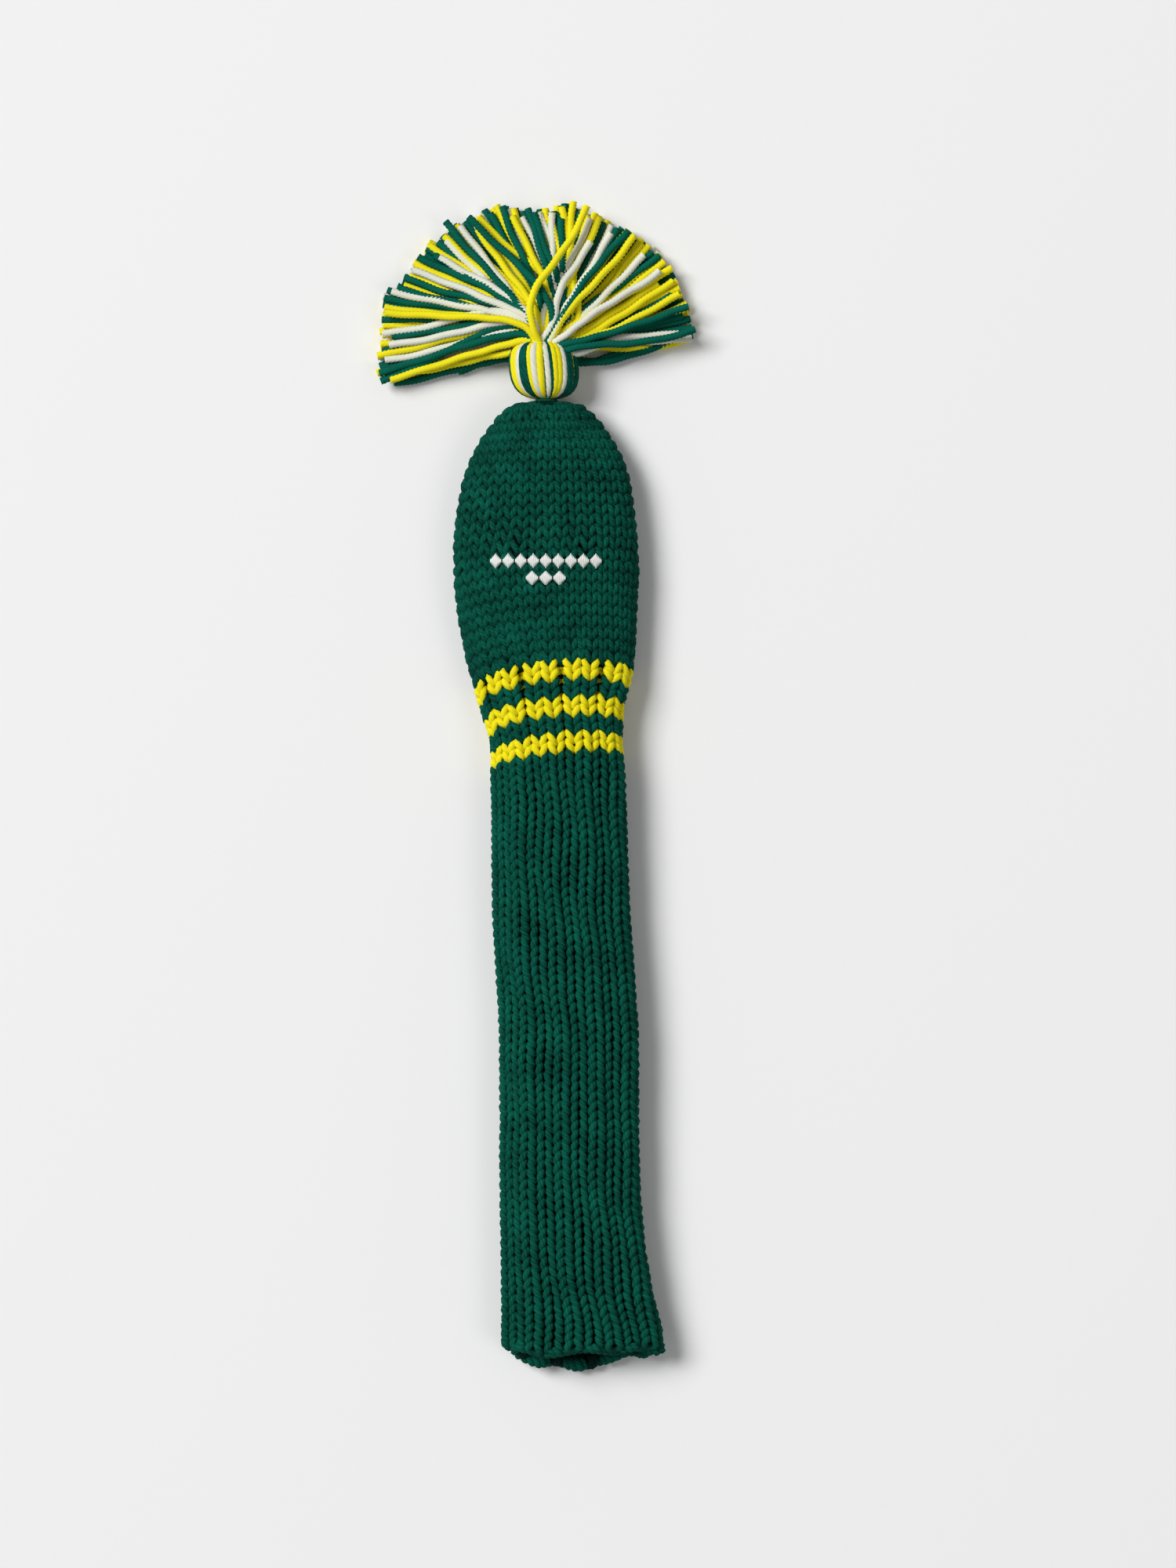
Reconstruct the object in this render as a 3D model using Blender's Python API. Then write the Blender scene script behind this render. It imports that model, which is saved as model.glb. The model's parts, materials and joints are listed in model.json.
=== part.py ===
"""Knitted driver head cover with a tassel, each yarn piece its own closed solid.

Metres, +Z up. The cover lies flat on its back wall. +X is to its right and +Y runs from the sleeve's
mouth to the tassel. The origin is under the middle of its bounding box, on the surface it lies on.
"""

import math

import bpy
import numpy as np

MM = 0.001
GAP = 0.3  # clearance between neighbouring pieces, in millimetres like every size below

# The flattened knitted tube: height along Y, centre X, half width, half thickness.
TUBE = (
    (-240.0, 20.6, 33.6, 10.4),
    (-225.0, 19.8, 32.2, 10.8),
    (-206.0, 17.4, 29.7, 11.4),
    (-180.0, 15.4, 28.1, 11.7),
    (-150.0, 14.5, 27.4, 11.8),
    (-100.0, 14.3, 27.4, 11.8),
    (-50.0, 11.0, 27.1, 11.8),
    (0.0, 10.0, 26.5, 11.8),
    (19.0, 8.7, 26.8, 11.9),
    (32.0, 7.1, 29.7, 12.2),
    (45.0, 6.7, 33.8, 12.6),
    (64.0, 5.2, 36.6, 13.0),
    (90.0, 4.5, 38.5, 13.2),
    (116.0, 4.4, 36.2, 12.9),
    (130.0, 4.8, 33.2, 12.2),
    (141.0, 4.8, 27.6, 10.9),
    (148.0, 4.8, 22.7, 9.4),
    (154.0, 4.7, 17.0, 7.6),
    (157.3, 4.7, 10.5, 5.4),
)
TUBE_AXIS_Z = 11.0
WALL = 5.0
TUBE_SIDES = 32
CROWN_Y = 157.3
CROWN_HOLE = 2.4
CROWN_DISH = (4.9, 1.7)  # radius and depth of the dish that the gathers leave round the hole
CROWN_ROOM = 4.7  # thickness of the gathered crown over the head pocket
LEAST_POCKET = 3.4  # half thickness of the pocket where it narrows under the crown
HEM_Y = -237.52
CUFF_RADIUS = 2.3
SLEEVE_END_Y = HEM_Y + 2 * CUFF_RADIUS + GAP

# Rounds of knitting lean: the front of a round lies higher than its back by ARCH, and the right
# edge higher than the left by twice SKEW. Both fade away from the stripes.
ARCH = ((-30.0, 0.0), (15.0, 8.0), (45.0, 16.5), (140.0, 0.0))
SKEW = ((-30.0, 0.0), (15.0, 2.0), (45.0, 2.75), (140.0, 0.0))
MOUTH_RISE = 10.0  # the mouth's two side edges stand higher than its front and back
MOUTH_OPEN = 4.0  # the front lip stands higher than the back lip by twice this
MOUTH_FADE = 34.0

# The five bands between head and sleeve, two rounds each, from the top down.
STRIPE_TOP_Y = 49.5
BAND_HEIGHT = 7.34
BAND_GAP = 0.6  # between two bands, whose curved ends are faceted
BANDS = (
    ("upper_stripe_band", "yellow"),
    ("upper_neck_band", "green"),
    ("middle_stripe_band", "yellow"),
    ("lower_neck_band", "green"),
    ("lower_stripe_band", "yellow"),
)

# Embroidery: a chain of small lozenges. Centre Y, half length, number of lozenges.
EMBROIDERY = (
    ("embroidery_long_row", 91.0, 23.0, 9),
    ("embroidery_short_row", 84.0, 8.4, 3),
)
EMBROIDERY_X = 4.5
LOZENGE_HALF = 2.5
LINK_HALF = 0.45
THREAD_RISE = 1.0

# The tassel: it turns about PIVOT, where its cord leaves the crown.
PIVOT = (4.7, 158.4, 11.0)
CORD_RADIUS = 1.3
CORD_TOP_Y = 160.8
GATHER_RING = 3.5
GATHER_RADIUS = 0.75
HEAD_BASE_Y = 162.3
HEAD_TOP_Y = 177.2
HEAD_HALF_WIDTH = 14.0
HEAD_HALF_DEPTH = 11.0
HEAD_LEAN = -0.07  # the tassel leans to the left by this much of its height
HEAD_GROUPS = (
    "green", "white", "yellow", "green", "yellow", "white",
    "green", "yellow", "white", "green", "white", "yellow",
)
CORE_RADIUS = 4.4
TIE_Y = 178.8
TIE_RING = 5.9
TIE_RADIUS = 1.1
FAN_Y = 182.2
FAN_X = 3.1
FAN_FIRST = -8.0
FAN_LAST = 192.0
FAN_ROOT = 8.6
FAN_RADIUS = 57.6
FAN_GROWTH = (9.8, 11.9)  # how much longer the right and left locks are than the top ones
FAN_FRONT = ("green", "yellow", "white", "yellow", "white", "green", "white", "green", "yellow")
FAN_BACK = ("yellow", "green", "white", "green", "yellow", "white", "green", "yellow", "green")

COLOURS = {
    "green": (0.008, 0.120, 0.080),
    "yellow": (0.800, 0.720, 0.015),
    "white": (0.720, 0.720, 0.640),
}


def clear_scene():
    for obj in list(bpy.data.objects):
        bpy.data.objects.remove(obj, do_unlink=True)


def yarn_material(colour):
    """Matt wool: one Principled material for each yarn colour."""
    name = f"{colour}_wool"
    if name in bpy.data.materials:
        return bpy.data.materials[name]
    material = bpy.data.materials.new(name)
    material.use_nodes = True
    shader = material.node_tree.nodes["Principled BSDF"]
    shader.inputs["Base Color"].default_value = (*COLOURS[colour], 1.0)
    shader.inputs["Roughness"].default_value = 0.92
    shader.inputs["Metallic"].default_value = 0.0
    return material


def between(stations, y):
    """A smooth curve through (y, value) stations, level past both ends."""
    ys = np.array([station[0] for station in stations])
    values = np.array([station[1] for station in stations])
    slopes = np.gradient(values, ys)
    y = min(max(y, ys[0]), ys[-1])
    i = min(int(np.searchsorted(ys, y, side="right")) - 1, len(ys) - 2)
    i = max(i, 0)
    span = ys[i + 1] - ys[i]
    t = (y - ys[i]) / span
    rise = t * t * (3 - 2 * t)
    out = t * (1 - t) ** 2 * span * slopes[i]
    back = t * t * (1 - t) * span * slopes[i + 1]
    return values[i] * (1 - rise) + values[i + 1] * rise + out - back


def tube_section(y):
    """Centre X, half width and half thickness of the knitted tube at this height."""
    return tuple(between([(row[0], row[k]) for row in TUBE], y) for k in (1, 2, 3))


def round_y(y, angle):
    """The height of a round of knitting at this angle, where the round's front is at y."""
    s, c = math.sin(angle), math.cos(angle)
    lean = -between(ARCH, y) * (1 - s) / 2 + between(SKEW, y) * c
    mouth = max(0.0, 1 - (y - HEM_Y) / MOUTH_FADE) ** 2
    return y + lean + mouth * (MOUTH_RISE * c * c + MOUTH_OPEN * s)


def tube_ring(y, inset=0.0, lift=0.0):
    """One ring of points round the tube, inset from its outer face, flat where it lies."""
    ring = []
    for k in range(TUBE_SIDES):
        angle = 2 * math.pi * (k + 0.5) / TUBE_SIDES
        height = round_y(y, angle)
        centre, half_width, half_depth = tube_section(height + lift)
        x = centre + (half_width - inset) * math.cos(angle)
        z = TUBE_AXIS_Z + max(half_depth - inset, LEAST_POCKET) * math.sin(angle)
        ring.append((x, height, max(z, inset)))
    return ring


def hole_ring(y, radius=CROWN_HOLE):
    angles = [2 * math.pi * (k + 0.5) / TUBE_SIDES for k in range(TUBE_SIDES)]
    return [(PIVOT[0] + radius * math.cos(a), y, TUBE_AXIS_Z + radius * math.sin(a)) for a in angles]


def solid_from_rings(name, rings, colour, closed=False):
    """A closed solid through rings of points: capped at both ends, or joined end to end."""
    count = len(rings[0])
    points = [tuple(MM * value for value in point) for ring in rings for point in ring]
    faces = []
    for r in range(len(rings) if closed else len(rings) - 1):
        here, there = r * count, (r + 1) % len(rings) * count
        for k in range(count):
            n = (k + 1) % count
            faces.append((here + k, here + n, there + n, there + k))
    if not closed:
        faces.append(tuple(reversed(range(count))))
        faces.append(tuple(range((len(rings) - 1) * count, len(rings) * count)))
    mesh = bpy.data.meshes.new(name)
    mesh.from_pydata(points, [], faces)
    mesh.validate()
    mesh.materials.append(yarn_material(colour))
    facing_out(mesh)
    mesh.shade_smooth()
    mesh.set_sharp_from_angle(angle=math.radians(50))
    obj = bpy.data.objects.new(name, mesh)
    bpy.context.collection.objects.link(obj)
    return obj


def facing_out(mesh):
    """Turns the faces round if the solid they close has a negative volume."""
    mesh.calc_loop_triangles()
    corners = np.array([[mesh.vertices[i].co[:] for i in t.vertices] for t in mesh.loop_triangles])
    volume = np.einsum("ij,ij->i", corners[:, 0], np.cross(corners[:, 1], corners[:, 2])).sum()
    if volume < 0:
        mesh.flip_normals()


def tube_band(name, low, high, colour, steps):
    """A knitted tube between two rounds, open through its middle."""
    heights = np.linspace(low, high, steps + 1)
    outer = [tube_ring(y) for y in heights]
    inner = [tube_ring(y, WALL) for y in heights[::-1]]
    return solid_from_rings(name, outer + inner, colour, closed=True)


def pocket_ring(y):
    """A ring of the head pocket's wall, which closes in below the gathered crown."""
    share = min(max((y - 100.0) / (CROWN_Y - CROWN_ROOM - 100.0), 0.0), 1.0)
    return tube_ring(y, WALL, lift=share * CROWN_ROOM)


def make_head_panel(low):
    outer_heights = [low, 62.0, 76.0, 90.0, 104.0, 116.0, 126.0, 134.0, 141.0, 147.0, 151.5, 154.8]
    outer = [tube_ring(y) for y in outer_heights] + [tube_ring(CROWN_Y - 0.2)]
    inner_heights = [151.8, 148.5, 143.0, 136.0, 126.0, 112.0, 96.0, 80.0, 64.0, low]
    inner = [pocket_ring(y) for y in inner_heights]
    dish_y = CROWN_Y - CROWN_DISH[1]
    hole = [hole_ring(dish_y, CROWN_DISH[0]), hole_ring(dish_y), hole_ring(CROWN_Y - CROWN_ROOM)]
    solid_from_rings("head_panel", outer + hole + inner, "green", closed=True)


def make_bands():
    top = STRIPE_TOP_Y
    for name, colour in BANDS:
        tube_band(name, top - BAND_HEIGHT + BAND_GAP / 2, top - BAND_GAP / 2, colour, 2)
        top -= BAND_HEIGHT
    return top


def make_sleeve(top):
    heights = [SLEEVE_END_Y, -222.0, -208.0, -192.0, *range(-172, 0, 24), -8.0, top - BAND_GAP / 2]
    outer = [tube_ring(y) for y in heights]
    inner = [tube_ring(y, WALL) for y in heights[::-1]]
    solid_from_rings("ribbed_sleeve", outer + inner, "green", closed=True)


def make_cuff():
    """The cast-on edge: a round cord that runs along the middle of the wall, round the mouth."""
    sides = 8
    rings = []
    for k in range(TUBE_SIDES):
        angle = 2 * math.pi * (k + 0.5) / TUBE_SIDES
        y = round_y(SLEEVE_END_Y, angle) - CUFF_RADIUS - GAP
        centre, half_width, half_depth = tube_section(y)
        ring = []
        for j in range(sides):
            turn = 2 * math.pi * (j + 0.5) / sides
            out = CUFF_RADIUS * math.cos(turn) / math.cos(math.pi / sides) - WALL / 2
            x = centre + (half_width + out) * math.cos(angle)
            z = TUBE_AXIS_Z + (half_depth + out) * math.sin(angle)
            ring.append((x, y + CUFF_RADIUS * math.sin(turn), max(z, 0.0)))
        rings.append(ring)
    solid_from_rings("cuff_edge", rings, "green", closed=True)


def ring_about_y(name, centre, radius, thickness, colour):
    """A round cord that runs round the Y direction."""
    around, sides = 24, 8
    rings = []
    for k in range(around):
        a = 2 * math.pi * k / around
        ring = []
        for j in range(sides):
            b = 2 * math.pi * j / sides
            out = thickness * math.cos(b)
            x = centre[0] + (radius + out) * math.cos(a)
            z = centre[2] + (radius + out) * math.sin(a)
            ring.append((x, centre[1] + thickness * math.sin(b), z))
        rings.append(ring)
    solid_from_rings(name, rings, colour, closed=True)


def turned_about_y(name, profile, colour, sides=16):
    """A solid turned about the tassel's axis from (y, radius) pairs."""
    rings = []
    for y, radius in profile:
        x = tassel_x(y)
        turns = [2 * math.pi * k / sides for k in range(sides)]
        rings.append([(x + radius * math.cos(a), y, PIVOT[2] + radius * math.sin(a)) for a in turns])
    solid_from_rings(name, rings, colour)


def tassel_x(y):
    return PIVOT[0] + HEAD_LEAN * (y - PIVOT[1])


def make_embroidery():
    """Chains of lozenges in raised thread, which follow the top of the head panel."""
    for name, y, half_length, count in EMBROIDERY:
        pitch = 2 * half_length / count
        rings = []
        for k in range(4 * count + 1):
            x = -half_length + k * pitch / 4
            peak = 1 - abs(2 * ((k / 4) % 1.0) - 1)
            half = LINK_HALF + (LOZENGE_HALF - LINK_HALF) * peak
            rings.append(lozenge_ring(EMBROIDERY_X + x, y, half))
        solid_from_rings(name, rings, "white")


def lozenge_ring(x, y, half):
    ring = []
    for rise in (GAP, GAP + THREAD_RISE):
        side = 1 if rise == GAP else -1
        for step in (-1, 0, 1):
            height = y + side * step * half
            centre, half_width, half_depth = tube_section(height)
            arc = math.sqrt(1 - ((x - centre) / half_width) ** 2)
            ring.append((x, height, TUBE_AXIS_Z + half_depth * arc + rise))
    return ring


def make_anchor():
    """The yarn that holds the tassel: a knot in the pocket, and a cord above the crown."""
    knot_y = CROWN_Y - CROWN_ROOM - 1.4
    profile = [
        (knot_y - 7.0, 1.2),
        (knot_y - 6.0, 2.2),
        (knot_y - 3.6, 2.9),
        (knot_y - 1.2, 2.3),
        (knot_y, CORD_RADIUS),
        (CROWN_Y - CROWN_DISH[1] + 0.6, CORD_RADIUS),
    ]
    turned_about_y("anchor_knot", profile, "green", sides=12)
    base = PIVOT[1]
    cord = [(base + CORD_RADIUS * math.sin(a), CORD_RADIUS * math.cos(a)) for a in (-1.3, -0.8, -0.3)]
    turned_about_y("anchor_cord", cord + [(CORD_TOP_Y, CORD_RADIUS)], "green", sides=12)
    thread_y = CROWN_Y - CROWN_DISH[1] + GATHER_RADIUS + GAP
    ring_about_y("crown_gather_thread", (PIVOT[0], thread_y, PIVOT[2]), GATHER_RING, GATHER_RADIUS, "green")


def make_tassel_head():
    """Groups of strands side by side round the core, each a gore of a squashed ball."""
    groups = len(HEAD_GROUPS)
    for index, colour in enumerate(HEAD_GROUPS):
        first = 2 * math.pi * index / groups
        last = 2 * math.pi * (index + 1) / groups
        rings = []
        for step in range(9):
            t = step / 8
            y = HEAD_BASE_Y + t * (HEAD_TOP_Y - HEAD_BASE_Y)
            swell = abs(math.sin(math.pi * t)) ** 0.6
            rings.append(gore_ring(y, first, last, swell))
        solid_from_rings(f"tassel_head_{index + 1:02d}_{colour}", rings, colour)


def gore_ring(y, first, last, swell):
    """Inner arc and outer arc of one strand group at this height, clear of its neighbours."""
    inner = CORE_RADIUS + GAP
    outer = inner + 0.6 + (HEAD_HALF_DEPTH - inner - 0.6) * swell
    widen = 1 + (HEAD_HALF_WIDTH / HEAD_HALF_DEPTH - 1) * swell
    ring = []
    for radius, shares in ((inner, (0.0, 0.5, 1.0)), (outer, (1.0, 0.67, 0.33, 0.0))):
        inset = GAP / 2 / radius
        for share in shares:
            angle = first + inset + share * (last - first - 2 * inset)
            x = tassel_x(y) + radius * math.cos(angle) * (widen if radius == outer else 1.0)
            ring.append((x, y, PIVOT[2] + radius * math.sin(angle)))
    return ring


def lock_reach(angle):
    """How far the cut ends reach from the neck, which is more at both sides of the fan."""
    offset = (angle - 80.0) / 100.0
    growth = FAN_GROWTH[1] if offset > 0 else FAN_GROWTH[0]
    return FAN_RADIUS + growth * offset * offset


def make_skirt():
    """Locks of cut strands, spread as a half disc in a front layer over a back layer."""
    for layer, colours in (("front", FAN_FRONT), ("back", FAN_BACK)):
        sector = (FAN_LAST - FAN_FIRST) / len(colours)
        for index, colour in enumerate(colours):
            angle = FAN_FIRST + (index + 0.5) * sector
            reach = lock_reach(angle) - (2.0 if index % 2 else 0.0)
            rings = []
            for share in (0.0, 0.12, 0.3, 0.5, 0.7, 0.88, 0.97, 1.0):
                rings.append(lock_ring(layer, angle, sector, share, reach))
            solid_from_rings(f"skirt_{layer}_{index + 1:02d}_{colour}", rings, colour)


def lock_ring(layer, angle, sector, share, reach):
    radius = FAN_ROOT + share * (reach - FAN_ROOT)
    half = math.radians(sector) / 2 * radius - GAP / 2
    narrow = {0.97: 0.86, 1.0: 0.55}.get(share, 1.0)
    spread = 1 - (1 - share) ** 2
    if layer == "front":
        low, high = 11.15 - 4.2 * spread, 17.2 - 3.2 * spread
    else:
        low, high = 4.6 * (1 - spread), 10.85 - 4.2 * spread
    middle, rise = (low + high) / 2, (high - low) / 2
    if layer == "front":
        middle -= rise * (1 - narrow)
    direction = np.array((math.cos(math.radians(angle)), math.sin(math.radians(angle))))
    across = np.array((-direction[1], direction[0]))
    centre = np.array((FAN_X, FAN_Y)) + radius * direction
    ring = []
    for side, up in ((1, -0.5), (1, 0.5), (0.6, 1), (-0.6, 1), (-1, 0.5), (-1, -0.5), (-0.6, -1), (0.6, -1)):
        x, y = centre + across * half * side * narrow
        ring.append((x, y, middle + up * rise * (narrow if up > 0 or layer == "front" else 1.0)))
    return ring


def make_tassel():
    core = [
        (CORD_TOP_Y + GAP, 2.2),
        (HEAD_BASE_Y + 0.4, CORE_RADIUS),
        (FAN_Y + 1.6, CORE_RADIUS),
        (FAN_Y + 3.2, 3.2),
    ]
    turned_about_y("tassel_core", core, "white")
    tie_centre = (tassel_x(TIE_Y), TIE_Y, PIVOT[2])
    ring_about_y("neck_tie", tie_centre, TIE_RING, TIE_RADIUS, "green")
    make_tassel_head()
    make_skirt()


def main():
    clear_scene()
    make_head_panel(STRIPE_TOP_Y + BAND_GAP / 2)
    sleeve_top = make_bands()
    make_sleeve(sleeve_top)
    make_cuff()
    make_embroidery()
    make_anchor()
    make_tassel()


main()
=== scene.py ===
import json
import math

import bpy
import numpy as np
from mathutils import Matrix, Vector


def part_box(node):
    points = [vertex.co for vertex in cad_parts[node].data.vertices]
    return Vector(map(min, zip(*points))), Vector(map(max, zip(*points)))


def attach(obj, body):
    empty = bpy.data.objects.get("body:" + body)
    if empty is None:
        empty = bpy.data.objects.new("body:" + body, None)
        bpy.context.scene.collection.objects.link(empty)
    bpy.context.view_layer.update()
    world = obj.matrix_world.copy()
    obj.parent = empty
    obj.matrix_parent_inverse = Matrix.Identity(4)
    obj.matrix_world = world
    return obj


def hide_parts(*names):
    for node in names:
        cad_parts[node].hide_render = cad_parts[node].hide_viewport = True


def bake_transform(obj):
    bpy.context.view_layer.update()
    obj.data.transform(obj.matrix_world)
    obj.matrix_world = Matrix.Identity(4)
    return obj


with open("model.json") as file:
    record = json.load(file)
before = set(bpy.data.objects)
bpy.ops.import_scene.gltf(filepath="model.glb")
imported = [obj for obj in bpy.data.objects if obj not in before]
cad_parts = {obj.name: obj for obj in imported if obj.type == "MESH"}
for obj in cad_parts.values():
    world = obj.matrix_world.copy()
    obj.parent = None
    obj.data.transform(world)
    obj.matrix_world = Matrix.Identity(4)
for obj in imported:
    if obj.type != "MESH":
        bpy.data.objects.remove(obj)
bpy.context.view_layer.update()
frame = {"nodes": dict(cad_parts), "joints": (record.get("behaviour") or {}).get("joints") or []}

MM = 0.001
RANDOM = np.random.default_rng(11)

# ---------------------------------------------------------------- sizes, in metres
YARN_RADIUS = 1.48 * MM  # worsted wool, compressed in the fabric
STRAND_RADIUS = 1.65 * MM  # the same wool where it hangs free in the tassel
PLIES = 4
TWIST_PITCH = 6.6 * MM  # one full turn of the plies
PATH_STEP = TWIST_PITCH / 8  # yarn paths are read at this spacing
PERIODS = 9  # times round the cover that knit two, purl one is repeated
RIB_STITCHES = 3 * PERIODS
WIDE_STITCHES = 4 * PERIODS  # the head starts with one stitch more in each repeat
CROWN_STITCHES = 5 * WIDE_STITCHES // 6  # then every fifth and sixth are knitted together
TOP_STITCHES = 2 * CROWN_STITCHES // 3  # and at the very top every second and third
SLEEVE_ROUNDS = 62
BAND_ROUNDS = 2
HEAD_ROUNDS = 26  # of these, the first WIDE_ROUNDS and the last TOP_ROUNDS have their own stitch counts
WIDE_ROUNDS = 9
SHOULDER_ROUNDS = 8
TOP_ROUNDS = 4
SLEEVE_CUTS = (0, 16, 32, 47, SLEEVE_ROUNDS)  # rounds where the sleeve is divided, to keep each piece light
LOOP_DEPTH = 1.55 * MM  # half the depth between a stitch's legs and its head
LOOP_REACH = 0.86  # half a loop's height, in rounds
RIB_LEAN = 0.2  # sideways swing of a leg, in stitch widths, where the fabric is pulled long
HEAD_LEAN = 0.27
RIDGE = 2.3 * MM  # how far a pair of knit columns bulges out of the rib
FABRIC_INSET = 2.75 * MM  # the middle of the fabric, under the CAD shell's outer face
CROWN_EDGE = 0.42  # share of the greatest half width where the crown starts to turn over
CROWN_HOLE = 2.0 * MM  # radius of the gathered hole
CROWN_SLACK = 0.2 * MM  # the crown sinks a little under the tassel's head
CROWN_DIP = 4.0 * MM  # how deep the fabric turns into the hole
VALLEY_AT = 0.028  # share of the way round from the front's middle to a purl column

# A round of knitting leans: its front lies higher than its back, and its right edge than its left.
# Each station is a height and a shift, in millimetres.
ARCH = ((-30.0, 0.0), (15.0, 8.0), (45.0, 16.5), (140.0, 0.0))
SKEW = ((-30.0, 0.0), (15.0, 2.0), (45.0, 2.75), (140.0, 0.0))
MOUTH_RISE = 5.0 * MM  # the mouth's two side edges stand higher than its front and back
MOUTH_OPEN = 4.0 * MM  # the front lip stands higher than the back lip by twice this
MOUTH_WAVE = 1.3 * MM
MOUTH_TILT = 2.6 * MM  # the back lip's left hangs lower than its right
SCALLOP = 0.9 * MM  # each pair of knit columns pulls the edge in or out by this much
MOUTH_FADE = 34.0 * MM  # the mouth's own shape has faded out this far above it
CAST_ON_GAP = 7.0 * MM  # from the cuff's lowest point up to the first round, before it leans
BANDS_LOW_Y = 12.8 * MM
BANDS_HIGH_Y = 49.5 * MM

BANDS = (
    "upper_stripe_band",
    "upper_neck_band",
    "middle_stripe_band",
    "lower_neck_band",
    "lower_stripe_band",
)
PIVOT = Vector(next(j for j in frame["joints"] if j["name"] == "tassel_swing")["pos_m"])
TUBE_NODES = ("head_panel", *BANDS, "ribbed_sleeve")


# ---------------------------------------------------------------- node trees
def add(tree, kind, sockets=None, **settings):
    """Adds a node with its settings, and links or fills its sockets by name or number."""
    made = tree.nodes.new(kind)
    for key, value in settings.items():
        setattr(made, key, value)
    for key, value in (sockets or {}).items():
        if isinstance(value, bpy.types.NodeSocket):
            tree.links.new(value, made.inputs[key])
        else:
            made.inputs[key].default_value = value
    return made


def linear(hex_code, alpha=1.0):
    """An sRGB hex colour as linear values."""
    shares = [int(hex_code[i:i + 2], 16) / 255 for i in (1, 3, 5)]
    return (*[s / 12.92 if s <= 0.04045 else ((s + 0.055) / 1.055) ** 2.4 for s in shares], alpha)


def plied_yarn_tree():
    """A path becomes plied yarn: a lobed profile, one lobe for each ply, that turns along the path."""
    tree = bpy.data.node_groups.new("plied_yarn", "GeometryNodeTree")
    face = tree.interface
    face.new_socket("Path", in_out="INPUT", socket_type="NodeSocketGeometry")
    for name, kind in (
        ("Radius", "NodeSocketFloat"),
        ("Groove Depth", "NodeSocketFloat"),
        ("Twist Pitch", "NodeSocketFloat"),
        ("Profile Points", "NodeSocketInt"),
        ("Material", "NodeSocketMaterial"),
    ):
        face.new_socket(name, in_out="INPUT", socket_type=kind)
    face.new_socket("Yarn", in_out="OUTPUT", socket_type="NodeSocketGeometry")
    given = add(tree, "NodeGroupInput").outputs

    curve = add(tree, "GeometryNodeMeshToCurve", {0: given["Path"]})
    thick = add(tree, "GeometryNodeInputNamedAttribute", {"Name": "thickness"}, data_type="FLOAT")
    sized = add(tree, "GeometryNodeSetCurveRadius", {0: curve.outputs[0], "Radius": thick.outputs[0]})
    along = add(tree, "GeometryNodeSplineParameter").outputs["Length"]
    turns = add(tree, "ShaderNodeMath", {0: along, 1: given["Twist Pitch"]}, operation="DIVIDE")
    tilt = add(tree, "ShaderNodeMath", {0: turns.outputs[0], 1: -2 * math.pi}, operation="MULTIPLY")
    twisted = add(tree, "GeometryNodeSetCurveTilt", {0: sized.outputs[0], "Tilt": tilt.outputs[0]})
    path = add(tree, "GeometryNodeCaptureAttribute", {0: twisted.outputs[0]})
    path.capture_items.new("FLOAT", "along")
    tree.links.new(along, path.inputs[1])

    circle = add(
        tree,
        "GeometryNodeCurvePrimitiveCircle",
        {"Resolution": given["Profile Points"], "Radius": given["Radius"]},
    )
    index = add(tree, "GeometryNodeInputIndex").outputs[0]
    odd = add(tree, "ShaderNodeMath", {0: index, 1: 2.0}, operation="MODULO").outputs[0]
    cut = add(tree, "ShaderNodeMath", {0: odd, 1: given["Groove Depth"]}, operation="MULTIPLY")
    kept = add(tree, "ShaderNodeMath", {0: 1.0, 1: cut.outputs[0]}, operation="SUBTRACT")
    place = add(tree, "GeometryNodeInputPosition").outputs[0]
    pulled = add(tree, "ShaderNodeVectorMath", {0: place, "Scale": kept.outputs[0]}, operation="SCALE")
    lobed = add(tree, "GeometryNodeSetPosition", {0: circle.outputs[0], "Position": pulled.outputs[0]})
    ring = add(tree, "GeometryNodeCaptureAttribute", {0: lobed.outputs[0]})
    ring.capture_items.new("FLOAT", "groove")
    ring.capture_items.new("VECTOR", "across")
    tree.links.new(odd, ring.inputs[1])
    tree.links.new(place, ring.inputs[2])

    swept = add(
        tree,
        "GeometryNodeCurveToMesh",
        {"Curve": path.outputs[0], "Profile Curve": ring.outputs[0], "Fill Caps": True},
    )
    across = add(tree, "ShaderNodeSeparateXYZ", {0: ring.outputs[2]}).outputs
    fibre = add(tree, "ShaderNodeCombineXYZ", {0: across[0], 1: across[1], 2: path.outputs[1]})
    marked = add(
        tree,
        "GeometryNodeStoreNamedAttribute",
        {0: swept.outputs[0], "Name": "groove", "Value": ring.outputs[1]},
        data_type="FLOAT",
        domain="POINT",
    )
    combed = add(
        tree,
        "GeometryNodeStoreNamedAttribute",
        {0: marked.outputs[0], "Name": "fibre", "Value": fibre.outputs[0]},
        data_type="FLOAT_VECTOR",
        domain="POINT",
    )
    smooth = add(tree, "GeometryNodeSetShadeSmooth", {0: combed.outputs[0]})
    real = add(tree, "GeometryNodeRealizeInstances", {0: smooth.outputs[0]})
    dyed = add(tree, "GeometryNodeSetMaterial", {0: real.outputs[0], "Material": given["Material"]})
    add(tree, "NodeGroupOutput", {0: dyed.outputs[0]})
    return tree


YARN_TREE = plied_yarn_tree()
PAINTED_GROOVE_SHADE = 0.3  # painted shade: how far the wool goes from its lit to its deep colour between two plies
PAINTED_HOLLOW_SHADE = 0.76  # and the painted shade in a hollow of the fabric
FIBRE_GAP = 0.25  # mm between two fibres, across the yarn
FIBRE_RUN = 3.0  # mm that a fibre can be followed
DYE_PATCH = 11.0  # mm across a patch where the dye took more or less


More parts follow.
